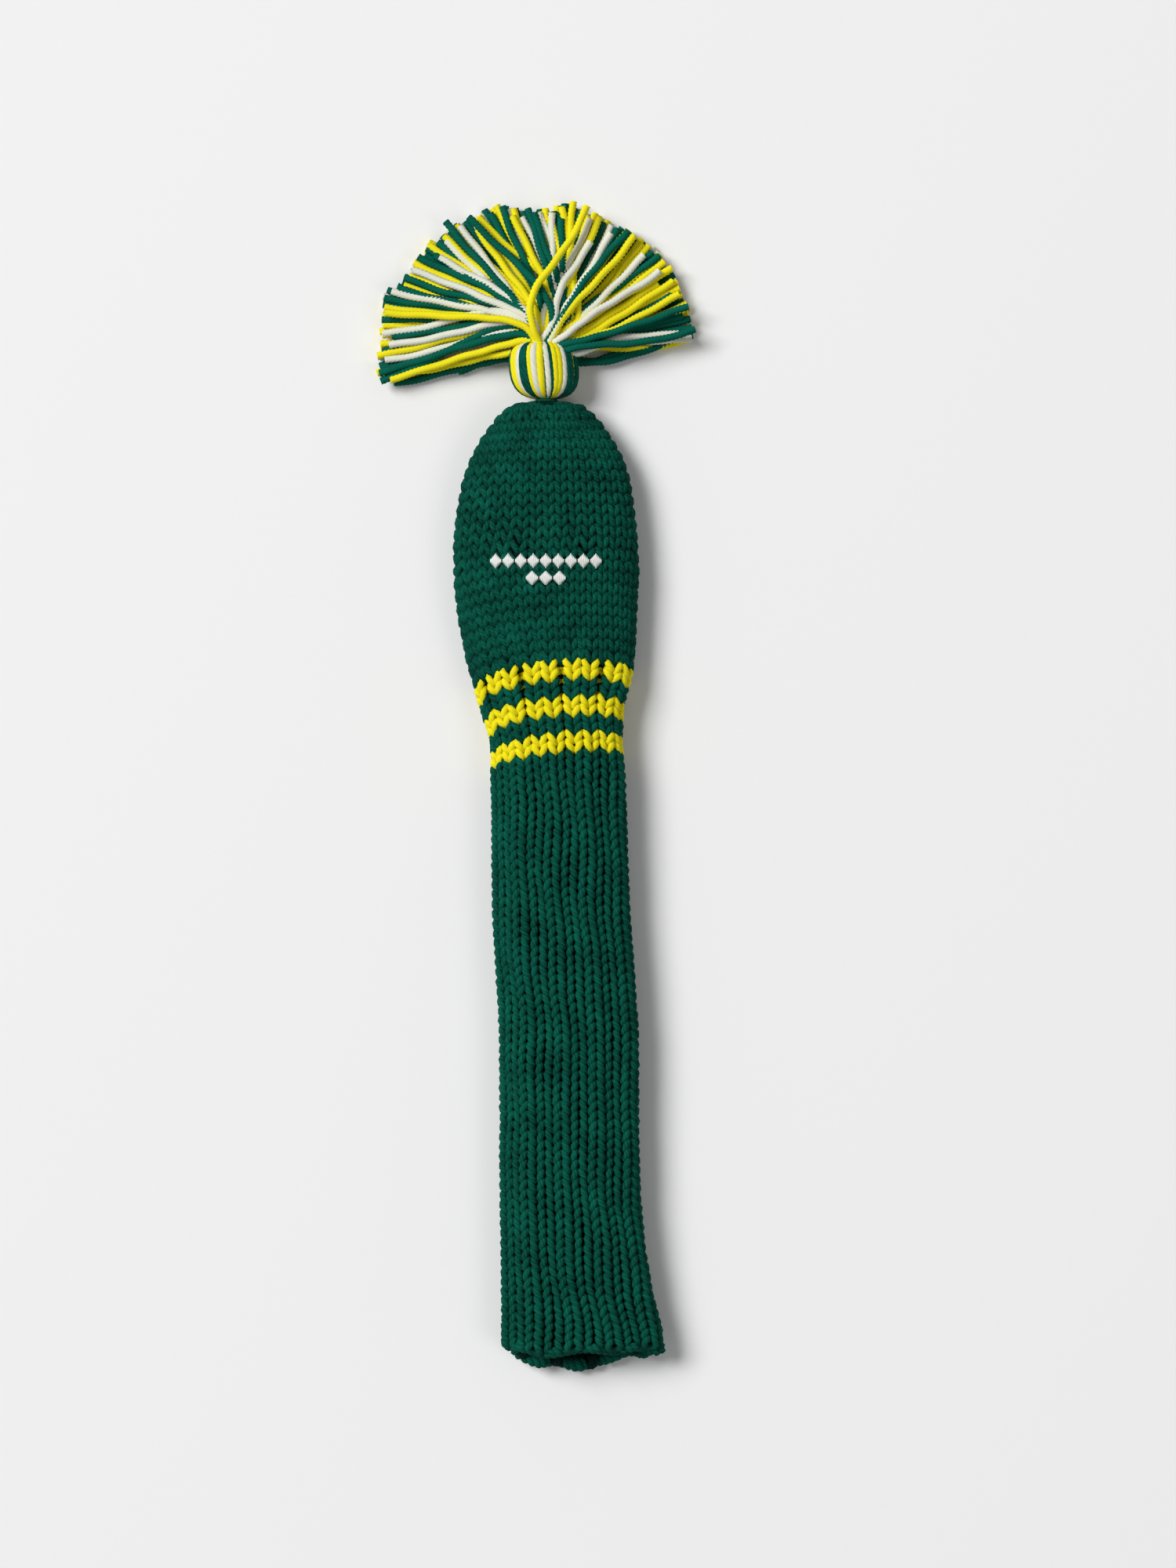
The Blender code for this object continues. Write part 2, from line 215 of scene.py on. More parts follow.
def wool(name, lit, deep, sheen):
    """Worsted wool, spun and plied: matt, with fibres that lie along each ply and a soft bloom of
    light at grazing angles. The dye takes a little unevenly. Painted shade darkens the colour in the
    grooves between plies and where the yarn lies in a hollow of the fabric, and painted light lightens free
    strands."""
    material = bpy.data.materials.new(name)
    material.use_nodes = True
    tree = material.node_tree
    shader = tree.nodes["Principled BSDF"]
    fibre = add(tree, "ShaderNodeAttribute", attribute_name="fibre").outputs["Vector"]
    groove = add(tree, "ShaderNodeAttribute", attribute_name="groove").outputs["Fac"]
    hollow = add(tree, "ShaderNodeAttribute", attribute_name="hollow").outputs["Fac"]
    place = add(tree, "ShaderNodeTexCoord").outputs["Object"]
    fine = 1 / (FIBRE_GAP * MM)
    combed = add(tree, "ShaderNodeMapping", {0: fibre, "Scale": (fine, fine, 1 / (FIBRE_RUN * MM))})
    strands = add(tree, "ShaderNodeTexNoise", {"Vector": combed.outputs[0], "Scale": 1.0, "Detail": 2.0})
    patch = 1 / (DYE_PATCH * MM)
    dye = add(tree, "ShaderNodeTexNoise", {"Vector": place, "Scale": patch, "Detail": 3.0})
    lights = add(
        tree,
        "ShaderNodeMapRange",
        {"Value": strands.outputs[0], "From Min": 0.3, "From Max": 0.7, "To Min": 0.3, "To Max": 0.8},
    )
    uneven = add(
        tree,
        "ShaderNodeMapRange",
        {"Value": dye.outputs[0], "From Min": 0.3, "From Max": 0.7, "To Min": 0.0, "To Max": 0.35},
    )
    tone = add(tree, "ShaderNodeMath", {0: lights.outputs[0], 1: uneven.outputs[0]}, operation="ADD")
    # Painted shade: the colour is pulled toward the deep one between plies and where the yarn lies in a
    # hollow; a hollow value below zero, on free strands, is painted light.
    groove_painted_shade = add(
        tree,
        "ShaderNodeMath",
        {0: groove, 1: -PAINTED_GROOVE_SHADE, 2: tone.outputs[0]},
        operation="MULTIPLY_ADD",
    )
    value = add(
        tree,
        "ShaderNodeMath",
        {0: hollow, 1: -PAINTED_HOLLOW_SHADE, 2: groove_painted_shade.outputs[0]},
        operation="MULTIPLY_ADD",
        use_clamp=True,
    )
    colour = add(
        tree,
        "ShaderNodeMix",
        {0: value.outputs[0], 6: linear(deep), 7: linear(lit)},
        data_type="RGBA",
    )
    rough = add(
        tree,
        "ShaderNodeMapRange",
        {"Value": strands.outputs[0], "To Min": 0.82, "To Max": 0.98},
    )
    bump = add(
        tree,
        "ShaderNodeBump",
        {"Height": strands.outputs[0], "Strength": 0.35, "Distance": FIBRE_GAP * MM},
    )
    tree.links.new(colour.outputs[2], shader.inputs["Base Color"])
    tree.links.new(rough.outputs[0], shader.inputs["Roughness"])
    tree.links.new(bump.outputs[0], shader.inputs["Normal"])
    shader.inputs["Specular IOR Level"].default_value = 0.06
    shader.inputs["Sheen Weight"].default_value = sheen
    shader.inputs["Sheen Roughness"].default_value = 0.45
    shader.inputs["Sheen Tint"].default_value = linear(lit)
    return material


# Lit and deep colours of each wool: the deep one is painted shade for grooves and hollows, and also the
# dark end of the fibres' and dye's own uneven tone.
GREEN_WOOL = wool("green_worsted_wool", "#096351", "#011f18", 0.03)
YELLOW_WOOL = wool("yellow_worsted_wool", "#f4e824", "#ddd00c", 0.04)
WHITE_WOOL = wool("white_worsted_wool", "#e6e7d8", "#c4c8b5", 0.06)


def thread(name, lit):
    """Rayon embroidery thread: smooth, with a soft gloss along the satin stitches."""
    material = bpy.data.materials.new(name)
    material.use_nodes = True
    tree = material.node_tree
    shader = tree.nodes["Principled BSDF"]
    fibre = add(tree, "ShaderNodeAttribute", attribute_name="fibre").outputs["Vector"]
    # Filaments about 0.15 mm apart that run along the thread.
    combed = add(tree, "ShaderNodeMapping", {0: fibre, "Scale": (1 / 0.00015, 1 / 0.00015, 1 / 0.004)})
    strands = add(tree, "ShaderNodeTexNoise", {"Vector": combed.outputs[0], "Scale": 1.0, "Detail": 1.0})
    bump = add(tree, "ShaderNodeBump", {"Height": strands.outputs[0], "Strength": 0.3, "Distance": 0.0001})
    tree.links.new(bump.outputs[0], shader.inputs["Normal"])
    shader.inputs["Base Color"].default_value = linear(lit)
    shader.inputs["Roughness"].default_value = 0.5
    return material


WHITE_THREAD = thread("white_rayon_thread", "#e6e8e4")


def carry(mesh, name, rows):
    """Gives a path mesh a value for each of its points."""
    values = np.concatenate(rows).astype(np.float32)
    mesh.attributes.new(name, "FLOAT", "POINT").data.foreach_set("value", values)


def yarn_piece(name, paths, material, radius=YARN_RADIUS, groove=0.13, pitch=TWIST_PITCH, points=2 * PLIES):
    """One object of plied yarn. Each path has its points, a thickness and, in a fabric, a hollowness, which
    paints shade into the wool's colour (painted light where it is below zero).
    """
    points_xyz = np.concatenate([path[0] for path in paths])
    edges = []
    first = 0
    for path in paths:
        edges += [(first + k, first + k + 1) for k in range(len(path[0]) - 1)]
        first += len(path[0])
    guide = bpy.data.meshes.new(name + "_path")
    guide.from_pydata(points_xyz.tolist(), edges, [])
    carry(guide, "thickness", [path[1] for path in paths])
    if len(paths[0]) == 3:
        carry(guide, "hollow", [path[2] for path in paths])
    carrier = bpy.data.objects.new(name + "_path", guide)
    bpy.context.scene.collection.objects.link(carrier)
    spin = carrier.modifiers.new("plied_yarn", "NODES")
    spin.node_group = YARN_TREE
    values = {
        "Radius": radius,
        "Groove Depth": groove,
        "Twist Pitch": pitch,
        "Profile Points": points,
        "Material": material,
    }
    for socket in YARN_TREE.interface.items_tree:
        if socket.in_out == "INPUT" and socket.name in values:
            spin[socket.identifier] = values[socket.name]
    bpy.context.view_layer.update()
    mesh = bpy.data.meshes.new_from_object(carrier.evaluated_get(bpy.context.evaluated_depsgraph_get()))
    mesh.name = name
    bpy.data.objects.remove(carrier)
    piece = bpy.data.objects.new(name, mesh)
    bpy.context.scene.collection.objects.link(piece)
    return piece


def even_steps(path, step, *others):
    """The path read again at even steps along its length, with values that follow it."""
    lengths = np.concatenate([[0.0], np.cumsum(np.linalg.norm(np.diff(path, axis=0), axis=1))])
    count = max(int(round(lengths[-1] / step)), 2)
    places = np.linspace(0.0, lengths[-1], count + 1)
    read = [np.stack([np.interp(places, lengths, path[:, k]) for k in range(3)], axis=1)]
    return read + [np.interp(places, lengths, other) for other in others]


# ---------------------------------------------------------------- the tube that the knitting follows
def tube_outline():
    """The CAD tube's outer outline: (height, centre x, half width, top) wherever it is cut across."""
    tops = []
    meshes = []
    for name in TUBE_NODES:
        mesh = frame["nodes"][name].data
        co = np.array([v.co[:] for v in mesh.vertices])
        ends = np.array([e.vertices[:] for e in mesh.edges])
        meshes.append((co[ends[:, 0]], co[ends[:, 1]]))
    # From above the leaning mouth to the top, closer together where the crown turns over.
    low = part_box("ribbed_sleeve")[0].y + 12 * MM
    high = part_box("head_panel")[1].y
    shoulder = high - 20 * MM
    coarse = np.arange(low, shoulder, 3 * MM)
    fine = np.arange(shoulder, high - 0.4 * MM, 1 * MM)
    for y in np.concatenate([coarse, fine]):
        cuts = []
        for a, b in meshes:
            cross = (a[:, 1] - y) * (b[:, 1] - y) < 0
            share = ((y - a[cross, 1]) / (b[cross, 1] - a[cross, 1]))[:, None]
            cuts.append(a[cross] + share * (b[cross] - a[cross]))
        cut = np.concatenate(cuts)
        if len(cut):
            left, right, top = cut[:, 0].min(), cut[:, 0].max(), cut[:, 2].max()
            tops.append((y, (left + right) / 2, (right - left) / 2, top))
    return np.array(tops)


class Tube:
    """The knitted fabric's outer surface. A place on it is (share of the way round, height)."""

    AROUND = 720

    def __init__(self):
        rows = tube_outline()
        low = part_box("cuff_edge")[0].y
        first = rows[0]
        rows = np.vstack([[low - 0.004, first[1] + 0.0008, first[2] + 0.0012, first[3]], rows])
        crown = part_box("head_panel")[1].y - CROWN_SLACK
        rows = rows[rows[:, 2] > CROWN_EDGE * rows[:, 2].max()]
        edge = rows[-1]
        turn = np.linspace(0.15, 1.0, 6) * math.pi / 2
        cap = [
            (
                edge[0] + (crown - edge[0]) * math.sin(t),
                edge[1] + (PIVOT.x - edge[1]) * math.sin(t),
                CROWN_HOLE + (edge[2] - CROWN_HOLE) * math.cos(t),
                PIVOT.z + CROWN_HOLE * 0.7 + (edge[3] - PIVOT.z - CROWN_HOLE * 0.7) * math.cos(t),
            )
            for t in turn
        ]
        # Past the rim the fabric dips into the gathered hole.
        dip = (crown - CROWN_DIP, PIVOT.x, 0.75 * CROWN_HOLE, PIVOT.z + 0.5 * CROWN_HOLE)
        rows = np.vstack([rows, cap, dip])
        self.y, self.x, self.a = rows[:, 0], rows[:, 1], rows[:, 2]
        self.b = rows[:, 3] - PIVOT.z
        # Length along the fabric: a weighted mean of the front's middle and the side edges.
        step = np.hypot(np.diff(self.y), 0.75 * np.diff(self.a))
        self.s = np.concatenate([[0.0], np.cumsum(step)])
        front = np.interp(0.0, self.y, self.s)
        self.s -= front
        angles = np.linspace(-math.pi, math.pi, self.AROUND + 1)
        self.angle_table = []
        self.girth = []
        for a, b in zip(self.a, self.b):
            x = a * np.sin(angles)
            z = np.maximum(PIVOT.z + b * np.cos(angles), 0.0)
            run = np.concatenate([[0.0], np.cumsum(np.hypot(np.diff(x), np.diff(z)))])
            self.girth.append(run[-1])
            self.angle_table.append(np.interp(np.linspace(0, 1, self.AROUND + 1), run / run[-1], angles))
        self.angle_table = np.array(self.angle_table)
        self.girth = np.array(self.girth)

    def length_at(self, y):
        return float(np.interp(y, self.y, self.s))

    def girth_at(self, s):
        return np.interp(s, self.s, self.girth)

    def angle_at(self, share, s):
        """The angle round the tube at this share of the girth, from the back's middle."""
        place = (share + 0.5) % 1.0 * self.AROUND
        column = np.minimum(place.astype(int), self.AROUND - 1)
        part = place - column
        row = np.clip(np.searchsorted(self.s, s) - 1, 0, len(self.s) - 2)
        up = np.clip((s - self.s[row]) / (self.s[row + 1] - self.s[row]), 0, 1)
        table = self.angle_table
        low = table[row, column] * (1 - part) + table[row, column + 1] * part
        high = table[row + 1, column] * (1 - part) + table[row + 1, column + 1] * part
        return low * (1 - up) + high * up

    def outer(self, share, s):
        """Points on the outer face. A round's lean is added to its place along the fabric."""
        angle = self.angle_at(share, s)
        s = s + lean(self, s, angle, share)
        x = np.interp(s, self.s, self.x) + np.interp(s, self.s, self.a) * np.sin(angle)
        z = np.maximum(PIVOT.z + np.interp(s, self.s, self.b) * np.cos(angle), 0.0)
        return np.stack([x, np.interp(s, self.s, self.y), z], axis=1)

    def top(self, x, y):
        """Height of the outer face straight above these points."""
        middle, half, high = (np.interp(y, self.y, row) for row in (self.x, self.a, self.b))
        return PIVOT.z + high * np.sqrt(np.clip(1 - ((x - middle) / half) ** 2, 0, 1))

    def place(self, share, s, out):
        """Points at a distance out of the fabric's middle."""
        here = self.outer(share, s)
        sideways = self.outer(share + 0.002, s) - self.outer(share - 0.002, s)
        upwards = self.outer(share, s + 0.0008) - self.outer(share, s - 0.0008)
        normal = np.cross(sideways, upwards)
        normal /= np.linalg.norm(normal, axis=1)[:, None]
        return here + normal * (out - FABRIC_INSET)[:, None]


def faded(stations, y):
    return np.interp(y, [MM * row[0] for row in stations], [MM * row[1] for row in stations])


def lean(tube, s, angle, share):
    """How far a round is shifted along the fabric at this angle from the front's middle."""
    y = np.interp(s, tube.s, tube.y)
    tilt = -faded(ARCH, y) * (1 - np.cos(angle)) / 2 + faded(SKEW, y) * np.sin(angle)
    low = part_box("cuff_edge")[0].y
    mouth = np.clip(1 - (y - low) / MOUTH_FADE, 0, 1) ** 2
    wave = MOUTH_WAVE * (np.sin(3 * angle + 0.6) + 0.8 * np.sin(7 * angle + 1.9))
    wave += SCALLOP * mouth**3 * np.cos(2 * math.pi * PERIODS * (share - VALLEY_AT))
    back = np.sin(angle) * np.clip(-np.cos(angle), 0, 1)
    rise = MOUTH_RISE * np.sin(angle) ** 2 + MOUTH_OPEN * np.cos(angle)
    return tilt + mouth * (rise + wave + MOUTH_TILT * back)


TUBE = Tube()
MOUTH_S = TUBE.length_at(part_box("cuff_edge")[0].y) + CAST_ON_GAP
BANDS_S = TUBE.length_at(BANDS_LOW_Y)
HEAD_S = TUBE.length_at(BANDS_HIGH_Y)
CROWN_S = TUBE.s[-2]
FIRST_BAND = SLEEVE_ROUNDS
FIRST_HEAD = SLEEVE_ROUNDS + BAND_ROUNDS * len(BANDS)
LAST_ROUND = FIRST_HEAD + HEAD_ROUNDS


def round_s(v):
    """Place along the fabric of round number v."""
    return np.interp(v, [0, FIRST_BAND, FIRST_HEAD, LAST_ROUND], [MOUTH_S, BANDS_S, HEAD_S, CROWN_S])


def rib_share(v):
    """1 where the rib stands out, falling to 0 where the head is plain knitting."""
    return np.interp(v, [FIRST_BAND - 2, FIRST_BAND + 3, FIRST_HEAD, FIRST_HEAD + 2], [1.0, 0.6, 0.3, 0.0])


def rounds_between(first, last):
    """The stitches of rounds first to last, in the order they are worked: round, number, zone, count."""
    rows = []
    starts = (FIRST_HEAD, FIRST_HEAD + WIDE_ROUNDS, LAST_ROUND - TOP_ROUNDS)
    for number in range(first, last):
        zone = sum(number >= start for start in starts)
        count = (RIB_STITCHES, WIDE_STITCHES, CROWN_STITCHES, TOP_STITCHES)[zone]
        rows += [(number, stitch, zone, count) for stitch in range(count)]
    return np.array(rows)


def column_edges(v, zone, stitch):
    """Shares of the way round of a stitch's left edge, and its width."""
    purl = np.interp(v, [0, FIRST_BAND + 2, FIRST_BAND + 5, FIRST_HEAD - 1], [0.022, 0.03, 0.07, 0.17])
    knit = (1 - purl) / 2
    nothing = 0 * v
    rib_cuts = np.stack([nothing, purl, purl + knit, nothing + 1]) - purl / 2
    # The made stitch opens from nothing, and the pair knitted together closes up, over three rounds.
    opened = np.clip((v - FIRST_HEAD) / 3, 0, 1)
    closed = np.clip((v - FIRST_HEAD - WIDE_ROUNDS) / 3, 0, 1)
    wide_start = np.array([-0.085, 0.085, 0.47, 0.53, 0.915])[:, None]
    wide_end = (np.arange(5) / 4 - 0.125)[:, None]
    wide_cuts = wide_start + (wide_end - wide_start) * opened
    crown_start = np.array([0, 1, 2, 3, 4, 6])[:, None] / 6
    crown_end = (np.arange(6) / 5)[:, None]
    crown_cuts = crown_start + (crown_end - crown_start) * closed
    top_closed = np.clip((v - LAST_ROUND + TOP_ROUNDS) / 2, 0, 1)
    top_start = np.array([0, 1, 3])[:, None] / 3
    top_cuts = top_start + (np.arange(3)[:, None] / 2 - top_start) * top_closed
    left = nothing.copy()
    width = nothing.copy()
    half_stitch = -0.125 / PERIODS
    for index, (cuts, per, repeats, shift) in enumerate(
        (
            (rib_cuts, 3, PERIODS, 0.0),
            (wide_cuts, 4, PERIODS, 0.0),
            (crown_cuts, 5, WIDE_STITCHES / 6, half_stitch),
            (top_cuts, 2, TOP_STITCHES / 2, half_stitch),
        )
    ):
        here = zone == index
        repeat = stitch[here] // per
        place = stitch[here] % per
        low = cuts[place, np.flatnonzero(here)]
        high = cuts[place + 1, np.flatnonzero(here)]
        left[here] = (repeat + low) / repeats + shift
        width[here] = (high - low) / repeats
    return left, width


DENSE = 32  # points along a stitch before its path is read again at even steps


def knit_path(first, last):
    """The path of the yarn through rounds first to last, worked round and round as one spiral."""
    worked = rounds_between(first, last)
    total = len(worked)
    number = np.repeat(np.arange(total), DENSE)
    t = np.tile(np.linspace(0, 2 * math.pi, DENSE, endpoint=False), total)
    number_of_round, stitch, zone, count = worked[number].T
    v = number_of_round + (stitch + t / (2 * math.pi)) / count
    left, width = column_edges(v, zone, stitch)
    share = VALLEY_AT - 0.5 - 0.5 / PERIODS + left + width * t / (2 * math.pi)
    s = round_s(v)
    girth = TUBE.girth_at(s)
    stitch_width = np.maximum(width, 0.024) * girth
    height = np.maximum(round_s(np.minimum(v + 0.5, LAST_ROUND)) - round_s(v - 0.5), 3.0 * MM)
    kind = np.where(zone == 0, stitch % 3, 1)
    purl = kind == 0

    middle = (1 - np.cos(t)) / 2  # 0 where stitches join, 1 at the head of the loop
    wander = RANDOM.normal(0, 1, (total, 4))[number]
    rib = rib_share(v)
    swing = (HEAD_LEAN + (RIB_LEAN - HEAD_LEAN) * rib) * stitch_width * (1 + 0.08 * wander[:, 0] * middle)
    reach = LOOP_REACH * height * (1 + 0.035 * wander[:, 1] * middle)
    sideways = swing * np.sin(2 * t) + 0.14 * MM * wander[:, 2] * middle
    slow = 0.35 * MM * np.sin(2 * math.pi * (v / 13.0 + 3 * share))
    slow = slow + 0.3 * MM * np.sin(v * 0.61 + 9 * share)
    upwards = -reach * np.cos(t) + 0.2 * MM * np.sin(v * 0.9 + 14 * share)
    out = np.where(purl, LOOP_DEPTH * np.cos(2 * t) - 2 * LOOP_DEPTH, -LOOP_DEPTH * np.cos(2 * t))
    crest = np.sin(math.pi * np.clip(kind - 1 + t / (2 * math.pi), 0, 2) / 2) ** 0.7
    pair = np.where((zone == 0) & ~purl, crest, 0.0)
    out = out + RIDGE * rib * pair + 0.12 * MM * wander[:, 3] * middle
    path = TUBE.place(share + (sideways + slow) / girth, s + upwards, out)
    path[:, 2] = np.maximum(path[:, 2], YARN_RADIUS)  # pressed flat against whatever it lies on
    thick = np.clip(stitch_width / (4.4 * MM), 0.7, 1.0)
    thick = np.where(purl, 0.9, thick) * (1 + 0.04 * np.sin(v * 5.3) + 0.03 * np.sin(v * 17.1))
    # A leg's middle lies on top of the fabric; its ends, and every purl stitch, lie in a hollow, where the
    # wool's colour gets painted shade.
    hollow = np.clip(0.5 - 0.5 * out / LOOP_DEPTH, 0, 1) ** 0.8
    return path, thick, hollow


def knit_piece(name, first, last, material):
    path, thick, hollow = knit_path(first, last)
    return yarn_piece(name, [even_steps(path, PATH_STEP, thick, hollow)], material)


def fold_with_neck(piece):
    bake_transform(piece)


def make_sleeve():
    pieces = []
    for index, (first, last) in enumerate(zip(SLEEVE_CUTS, SLEEVE_CUTS[1:])):
        pieces.append(knit_piece(f"rib_knitting_{index + 1}", first, last, GREEN_WOOL))
    for piece in pieces[:-1]:
        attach(piece, "sleeve")
    fold_with_neck(pieces[-1])
    for piece in pieces:
        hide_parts("ribbed_sleeve")


def make_bands():
    last = FIRST_HEAD
    for name in BANDS:
        yellow = "stripe" in name
        band_wool = YELLOW_WOOL if yellow else GREEN_WOOL
        band = knit_piece(f"{name}_knitting", last - BAND_ROUNDS, last, band_wool)
        last -= BAND_ROUNDS
        if name.startswith("lower"):
            fold_with_neck(band)  # the back of these rounds reaches down past the fold
        else:
            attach(band, "head")
        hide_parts(name)


def make_head():
    shoulder = FIRST_HEAD + WIDE_ROUNDS
    cuts = (FIRST_HEAD, shoulder, shoulder + SHOULDER_ROUNDS, LAST_ROUND)
    names = ("head_knitting", "shoulder_knitting", "crown_knitting")
    for name, first, last in zip(names, cuts, cuts[1:]):
        piece = knit_piece(name, first, last, GREEN_WOOL)
        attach(piece, "head")
        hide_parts("head_panel")


def make_cuff():
    """The cast-on edge: two strands that wrap round each other, one turn for each stitch."""
    turn = np.linspace(0, 2 * math.pi * RIB_STITCHES, RIB_STITCHES * DENSE)
    share = VALLEY_AT - 0.5 + turn / (2 * math.pi * RIB_STITCHES)
    paths = []
    wrap = 1.35 * MM  # from the edge's middle to each strand's middle
    ridge = RIDGE * np.cos(2 * math.pi * PERIODS * (share - VALLEY_AT))
    for phase in (0.0, math.pi):
        s = MOUTH_S - 1.2 * MM + wrap * np.cos(turn + phase)
        out = -0.6 * MM + wrap * np.sin(turn + phase) + ridge
        path = TUBE.place(share, s, out)
        path[:, 2] = np.maximum(path[:, 2], YARN_RADIUS)
        paths.append(even_steps(path, PATH_STEP, np.ones(len(path))))
    piece = yarn_piece("cast_on_edge", paths, GREEN_WOOL)
    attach(piece, "sleeve")
    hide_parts("cuff_edge")


# ---------------------------------------------------------------- the tassel
FAN_CENTRE = Vector((3.05 * MM, 179.7 * MM, PIVOT.z))
NECK_RADIUS = 4.6 * MM
BALL_MIDDLE = 169.5 * MM
BALL_HALF = Vector((14.0 * MM, 11.1 * MM, 10.8 * MM))
BALL_LEAN = -0.09  # the tassel leans left by this much of its height
WOOLS = {"G": GREEN_WOOL, "Y": YELLOW_WOOL, "W": WHITE_WOOL}
WORDS = {"G": "green", "Y": "yellow", "W": "white"}
OPEN_STRAND_PAINTED_LIGHT = -0.45  # the opposite of a hollow: painted light, because free strands catch light from every side

# The strands on top of the fan: wool, direction in degrees, reach and sideways bow in mm.
TOP_STRANDS = (
    ("G", 192, 68, -8), ("Y", 192, 64, -1), ("Y", 190, 53, 3), ("G", 189, 68, -4), ("W", 185, 65, -4),
    ("Y", 183, 68, -6), ("W", 180, 63, -7), ("G", 181, 66, -5), ("G", 176, 62, -7), ("W", 175, 66, -10),
    ("G", 170, 67, -5), ("Y", 168, 66, -5), ("Y", 165, 67, -3), ("G", 163, 67, -6), ("W", 160, 66, -5),
    ("G", 162, 63, -7), ("G", 158, 64, -4), ("G", 153, 63, -5), ("Y", 153, 62, -3), ("W", 150, 62, -6),
    ("Y", 146, 63, -4), ("G", 143, 63, -6), ("G", 140, 58, -5), ("Y", 138, 63, -4), ("W", 139, 56, -6),
    ("W", 133, 59, -3), ("Y", 131, 61, -4), ("G", 128, 65, -2), ("Y", 126, 61, -5), ("W", 124, 60, -1),
    ("G", 120, 61, -11), ("Y", 115, 59, -13), ("Y", 119, 55, -4), ("Y", 115, 47, -6), ("G", 106, 60, -4),
    ("Y", 102, 55, -7), ("W", 99, 54, -10), ("G", 96, 57, -7), ("W", 92, 55, -4), ("W", 91, 55, -11),
    ("G", 93, 55, -9), ("W", 94, 48, -9), ("Y", 87, 53, -14), ("W", 86, 55, -3), ("G", 83, 55, -8),
    ("G", 80, 53, -4), ("Y", 82, 58, -11), ("Y", 78, 61, -6), ("Y", 72, 60, 9), ("G", 74, 56, 3),
    ("W", 69, 56, 4), ("W", 67, 47, 1), ("G", 65, 53, 3), ("Y", 66, 58, 2), ("W", 59, 54, -1),
    ("G", 54, 59, 1), ("Y", 50, 59, 0), ("Y", 46, 59, -5), ("W", 42, 56, -3), ("G", 38, 61, 1),
    ("Y", 35, 61, -3), ("Y", 31, 62, 0), ("W", 33, 57, -2), ("Y", 29, 54, -4), ("Y", 27, 60, -6),
    ("G", 22, 57, -5), ("Y", 20, 60, -5), ("G", 15, 62, -4), ("G", 13, 59, -4), ("W", 7, 56, -5),
    ("G", 6, 63, -5),
)
# The ones that lie highest, by direction and reach.
LONG_ON_TOP = {
    (72, 60), (67, 47), (59, 54), (54, 59), (50, 59), (33, 57), (15, 62), (6, 63), (168, 66), (120, 61),
}
CROSSING = (72, 60)  # the one that lies across the rest
# The fan's cut edge: direction in degrees and reach in mm.
CUT_EDGE = (
    (-9, 60), (5, 63), (18, 62), (34, 63), (54, 60), (66, 59), (78, 61), (90, 57), (97, 57), (106, 61),
    (138, 64), (153, 64), (161, 69), (192, 69),
)

# The strands across the front of the ball: wool and degrees round it from the front's middle.
BALL_FRONT = (
    ("G", -84), ("Y", -70), ("Y", -61), ("W", -51), ("G", -43), ("G", -35), ("Y", -26.5), ("W", -17.5),
    ("Y", -6), ("G", 1.5), ("W", 7), ("G", 14), ("Y", 21.5), ("Y", 29.5), ("W", 39), ("G", 48), ("G", 57),
    ("Y", 64.5), ("G", 73), ("G", 84),
)
# By direction, how far in mm a strand lies under the next ones.
SUNK = {1.5: -0.7, 7: -0.15, 14: -0.25, -26.5: -0.2, 64.5: -0.6, -61: -0.2}
BALL_BACK = "GYYWGGYWWGYGGYWG"


def fan_strand(degrees, reach, bow, height, root_height, jitter=0.0):
    """A strand from inside the tie to its cut end, at a height over the floor where it lies."""
    steps = 90
    u = np.linspace(0, 1, steps)
    turn = math.radians(degrees)
    ahead = np.array([math.cos(turn), math.sin(turn)])
    aside = np.array([-math.sin(turn), math.cos(turn)])
    # Inside the tie every strand points up the tassel; then it turns to its own direction.
    root = np.array([FAN_CENTRE.x + 0.6 * NECK_RADIUS * math.cos(turn), FAN_CENTRE.y - 1.5 * MM])
    tip = np.array([FAN_CENTRE.x, FAN_CENTRE.y]) + ahead * reach * MM
    turn_out = root + np.array([0.25 * ahead[0], 1.0]) * 7.5 * MM
    weights = np.stack([(1 - u) ** 3, 3 * u * (1 - u) ** 2, 3 * u**2 * (1 - u), u**3])
    far = tip - ahead * 0.62 * reach * MM
    flat = np.einsum("kn,kd->nd", weights, np.stack([root, turn_out, far, tip]))
    side = bow * MM * np.sin(math.pi * u**0.85) + jitter * MM * np.sin(3.1 * math.pi * u + degrees)
    side = side + 0.28 * MM * u * np.sin(10.0 * math.pi * u + 2.3 * degrees)
    flat = flat + side[:, None] * aside
    rise = np.sin(math.pi * np.clip(u * 1.15, 0, 1)) * (height - STRAND_RADIUS) * 0.45
    z = PIVOT.z + root_height + (height - PIVOT.z - root_height) * u**0.8 + rise
    path = np.column_stack([flat, np.maximum(z, 1.1 * STRAND_RADIUS)])
    # Squeezed in the tie, at its full thickness past it, and drawn together at the cut end.
    thick = np.interp(u, [0, 0.1, 0.28, 0.955, 0.98, 1.0], [0.5, 0.62, 1.0, 1.0, 0.86, 0.35])
    thick = thick * (1 + 0.06 * np.sin(41 * u + 1.7 * degrees))
    return path, thick


def trimmed(degrees):
    """Reach of the fan's cut edge in this direction, in mm."""
    return np.interp(degrees, *zip(*CUT_EDGE))


